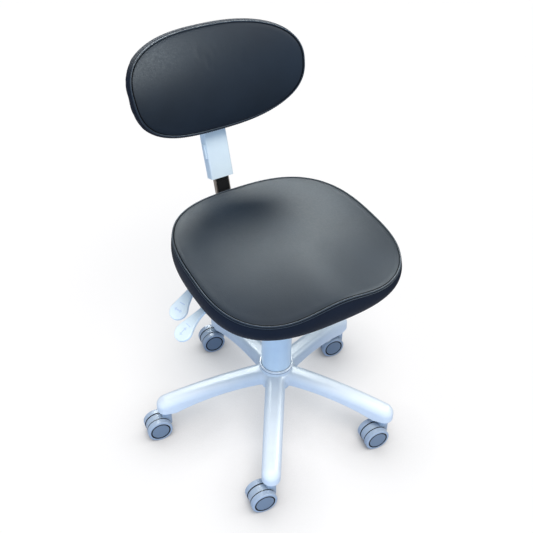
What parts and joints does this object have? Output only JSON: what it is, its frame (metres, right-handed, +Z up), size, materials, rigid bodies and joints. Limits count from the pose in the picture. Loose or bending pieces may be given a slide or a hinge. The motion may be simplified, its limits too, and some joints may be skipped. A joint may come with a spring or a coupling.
{
  "type": "clinic chair",
  "caption": "Height-adjustable clinic chair on a five-armed castered base, with a dished seat, side levers and a small wrapped backrest that tilts and slides on a flat stem.",
  "frame": {"origin": "on the floor under the column's axis", "axes": "+Z up; the sitter faces -Y, the backrest is at +Y and both levers are at -X"},
  "size_m": [0.5066, 0.5205, 0.7412],
  "materials": {
    "silver_paint": "satin",
    "column_paint": "satin",
    "steel": "satin",
    "chrome": "polished",
    "caster_hood": "matte",
    "wheel_core": "matte",
    "tread": "matte",
    "black_plastic": "matte",
    "pale_plastic": "satin",
    "upholstery": "satin",
    "black_paint": "satin",
    "board": "painted black"
  },
  "bodies": {
    "base": {"base_star": "silver_paint", "caster_stems": "steel", "column_tube": "column_paint", "column_bush": "black_plastic", "thrust_bearing": "steel"},
    "spring_rod": {"gas_rod": "steel", "rod_clip": "steel"},
    "seat": {"gas_cylinder": "chrome", "mechanism_housing": "silver_paint", "lever_pins": "steel", "lever_spring": "steel", "tilt_pin": "steel", "friction_washers": "steel", "seat_plate": "black_paint", "seat_bolts": "steel", "seat_shell": "board", "seat_pad": "upholstery"},
    "valve_pin": {"release_pin": "steel"},
    "height_lever": {"height_lever": "pale_plastic"},
    "back_lever": {"back_lever": "pale_plastic"},
    "stem": {"back_stem": "steel", "stem_rack": "black_plastic"},
    "backrest": {"back_carrier": "pale_plastic", "back_bolts": "steel", "back_board": "board", "back_shell": "black_plastic", "back_pad": "upholstery"},
    "height_button": {"height_button": "pale_plastic"},
    "caster_1": {"caster_1_fork": "caster_hood", "caster_1_axle": "steel"},
    "caster_1_left": {"caster_1_wheel_left": "wheel_core", "caster_1_tyre_left": "tread"},
    "caster_1_right": {"caster_1_wheel_right": "wheel_core", "caster_1_tyre_right": "tread"},
    "caster_2": {"caster_2_fork": "caster_hood", "caster_2_axle": "steel"},
    "caster_2_left": {"caster_2_wheel_left": "wheel_core", "caster_2_tyre_left": "tread"},
    "caster_2_right": {"caster_2_wheel_right": "wheel_core", "caster_2_tyre_right": "tread"},
    "caster_3": {"caster_3_fork": "caster_hood", "caster_3_axle": "steel"},
    "caster_3_left": {"caster_3_wheel_left": "wheel_core", "caster_3_tyre_left": "tread"},
    "caster_3_right": {"caster_3_wheel_right": "wheel_core", "caster_3_tyre_right": "tread"},
    "caster_4": {"caster_4_fork": "caster_hood", "caster_4_axle": "steel"},
    "caster_4_left": {"caster_4_wheel_left": "wheel_core", "caster_4_tyre_left": "tread"},
    "caster_4_right": {"caster_4_wheel_right": "wheel_core", "caster_4_tyre_right": "tread"},
    "caster_5": {"caster_5_fork": "caster_hood", "caster_5_axle": "steel"},
    "caster_5_left": {"caster_5_wheel_left": "wheel_core", "caster_5_tyre_left": "tread"},
    "caster_5_right": {"caster_5_wheel_right": "wheel_core", "caster_5_tyre_right": "tread"}
  },
  "joints": [
    {"name": "seat_swivel", "type": "hinge", "parent": "base", "child": "spring_rod", "pos_m": [0, 0, 0.0931], "axis": [0, 0, 1], "continuous": true},
    {"name": "seat_lift", "type": "slide", "parent": "spring_rod", "child": "seat", "axis": [0, 0, 1], "range_m": [-0.04, 0.09]},
    {"name": "height_lever_lift", "type": "hinge", "parent": "seat", "child": "height_lever", "pos_m": [-0.03, 0.018, 0.368], "axis": [0, 1, 0], "range_deg": [0, 8], "stiffness_Nm_per_rad": 2, "springref_deg": -14.32},
    {"name": "valve_press", "type": "slide", "parent": "seat", "child": "valve_pin", "axis": [0, 0, -1], "range_m": [0, 0.0042]},
    {"name": "back_lever_lift", "type": "hinge", "parent": "seat", "child": "back_lever", "pos_m": [-0.03, 0.09925, 0.368], "axis": [0, 1, 0], "range_deg": [0, 8], "stiffness_Nm_per_rad": 2, "springref_deg": -14.32},
    {"name": "back_tilt", "type": "hinge", "parent": "seat", "child": "stem", "pos_m": [0, 0.075, 0.366], "axis": [-1, 0, 0], "range_deg": [-8, 12]},
    {"name": "back_height", "type": "slide", "parent": "stem", "child": "backrest", "axis": [0, 0.309, 0.9511], "range_m": [-0.025, 0.045]},
    {"name": "button_press", "type": "slide", "parent": "backrest", "child": "height_button", "axis": [1, 0, 0], "range_m": [0, 0.002], "stiffness_N_per_m": 500, "springref_m": -0.003},
    {"name": "caster_1_swivel", "type": "hinge", "parent": "base", "child": "caster_1", "pos_m": [0.146, -0.1803, 0.06], "axis": [0, 0, 1], "continuous": true},
    {"name": "caster_1_left_spin", "type": "hinge", "parent": "caster_1", "child": "caster_1_left", "pos_m": [0.1262, -0.17751, 0.0255], "axis": [0.1392, 0.9903, 0], "continuous": true},
    {"name": "caster_1_right_spin", "type": "hinge", "parent": "caster_1", "child": "caster_1_right", "pos_m": [0.1262, -0.17751, 0.0255], "axis": [0.1392, 0.9903, 0], "continuous": true},
    {"name": "caster_2_swivel", "type": "hinge", "parent": "base", "child": "caster_2", "pos_m": [0.21659, 0.08314, 0.06], "axis": [0, 0, 1], "continuous": true},
    {"name": "caster_2_left_spin", "type": "hinge", "parent": "caster_2", "child": "caster_2_left", "pos_m": [0.19678, 0.08593, 0.0255], "axis": [0.1392, 0.9903, 0], "continuous": true},
    {"name": "caster_2_right_spin", "type": "hinge", "parent": "caster_2", "child": "caster_2_right", "pos_m": [0.19678, 0.08593, 0.0255], "axis": [0.1392, 0.9903, 0], "continuous": true},
    {"name": "caster_3_swivel", "type": "hinge", "parent": "base", "child": "caster_3", "pos_m": [-0.01214, 0.23168, 0.06], "axis": [0, 0, 1], "continuous": true},
    {"name": "caster_3_left_spin", "type": "hinge", "parent": "caster_3", "child": "caster_3_left", "pos_m": [-0.03195, 0.23447, 0.0255], "axis": [0.1392, 0.9903, 0], "continuous": true},
    {"name": "caster_3_right_spin", "type": "hinge", "parent": "caster_3", "child": "caster_3_right", "pos_m": [-0.03195, 0.23447, 0.0255], "axis": [0.1392, 0.9903, 0], "continuous": true},
    {"name": "caster_4_swivel", "type": "hinge", "parent": "base", "child": "caster_4", "pos_m": [-0.22409, 0.06005, 0.06], "axis": [0, 0, 1], "continuous": true},
    {"name": "caster_4_left_spin", "type": "hinge", "parent": "caster_4", "child": "caster_4_left", "pos_m": [-0.2439, 0.06283, 0.0255], "axis": [0.1392, 0.9903, 0], "continuous": true},
    {"name": "caster_4_right_spin", "type": "hinge", "parent": "caster_4", "child": "caster_4_right", "pos_m": [-0.2439, 0.06283, 0.0255], "axis": [0.1392, 0.9903, 0], "continuous": true},
    {"name": "caster_5_swivel", "type": "hinge", "parent": "base", "child": "caster_5", "pos_m": [-0.12636, -0.19457, 0.06], "axis": [0, 0, 1], "continuous": true},
    {"name": "caster_5_left_spin", "type": "hinge", "parent": "caster_5", "child": "caster_5_left", "pos_m": [-0.14616, -0.19179, 0.0255], "axis": [0.1392, 0.9903, 0], "continuous": true},
    {"name": "caster_5_right_spin", "type": "hinge", "parent": "caster_5", "child": "caster_5_right", "pos_m": [-0.14616, -0.19179, 0.0255], "axis": [0.1392, 0.9903, 0], "continuous": true}
  ],
  "couplings": [
    {"joint": "valve_press", "follows": "height_lever_lift", "m_per_rad": 0.03}
  ]
}
